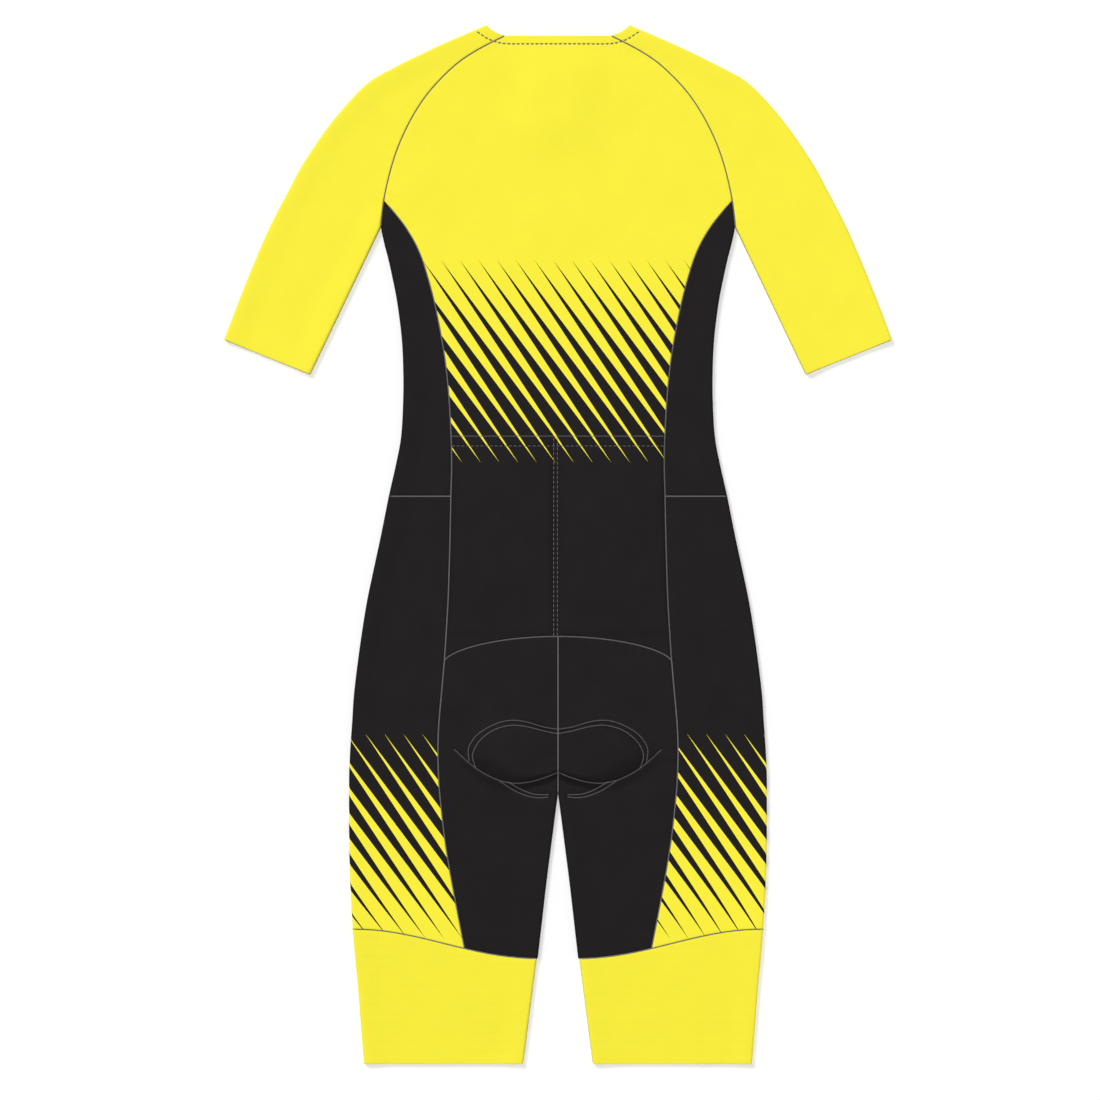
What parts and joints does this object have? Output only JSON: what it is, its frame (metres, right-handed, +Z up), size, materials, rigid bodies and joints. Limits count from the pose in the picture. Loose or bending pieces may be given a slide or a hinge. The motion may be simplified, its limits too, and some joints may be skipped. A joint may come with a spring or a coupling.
{
  "type": "cycling skinsuit laid flat",
  "caption": "Short-sleeved one-piece cycling suit laid face down: raglan sleeves, back pocket, seat pad, wrapped side and hip panels, leg bands and a front zip.",
  "frame": {"origin": "middle of the laid suit's footprint, on the surface it rests on", "axes": "+Y towards the neck, +Z up through the back, +X towards the picture's right, which is the wearer's right; nodes named left are at -X"},
  "size_m": [0.6948, 1.0806, 0.0092],
  "materials": {
    "striped_back_cloth": "stretch knit, soft sheen, yellow fading to black through tapered slanted stripes",
    "pocket_cloth": "stretch knit, black, with the ends of the yellow stripes near its mouth",
    "striped_hip_cloth": "stretch knit, black fading to yellow at the thigh through tapered slanted stripes",
    "black_cloth": "stretch knit, matt with a soft sheen",
    "yellow_cloth": "stretch knit, matt with a soft sheen",
    "band_cloth": "wide elastic stretch band, finely ribbed",
    "pad_foam": "brushed knit over foam",
    "zip_tape": "woven tape with a coil",
    "zip_enamel": "black enamel, satin"
  },
  "bodies": {
    "suit": {"back_panel": "striped_back_cloth", "pocket_panel": "pocket_cloth", "seat_left": "black_cloth", "seat_right": "black_cloth", "side_panel_left": "black_cloth", "side_panel_right": "black_cloth", "hip_panel_left": "striped_hip_cloth", "hip_panel_right": "striped_hip_cloth", "leg_band_left": "band_cloth", "leg_band_right": "band_cloth", "sleeve_left": "yellow_cloth", "sleeve_right": "yellow_cloth", "front_left": "striped_back_cloth", "front_right": "striped_back_cloth", "seat_pad": "pad_foam", "front_zip": "zip_tape", "zip_slider": "zip_enamel"},
    "pull": {"zip_pull": "zip_enamel"}
  },
  "joints": [
    {"name": "zip_pull_hinge", "type": "hinge", "parent": "suit", "child": "pull", "pos_m": [0, 0.4738, 0.00135], "axis": [1, 0, 0], "range_deg": [0, 170]}
  ]
}
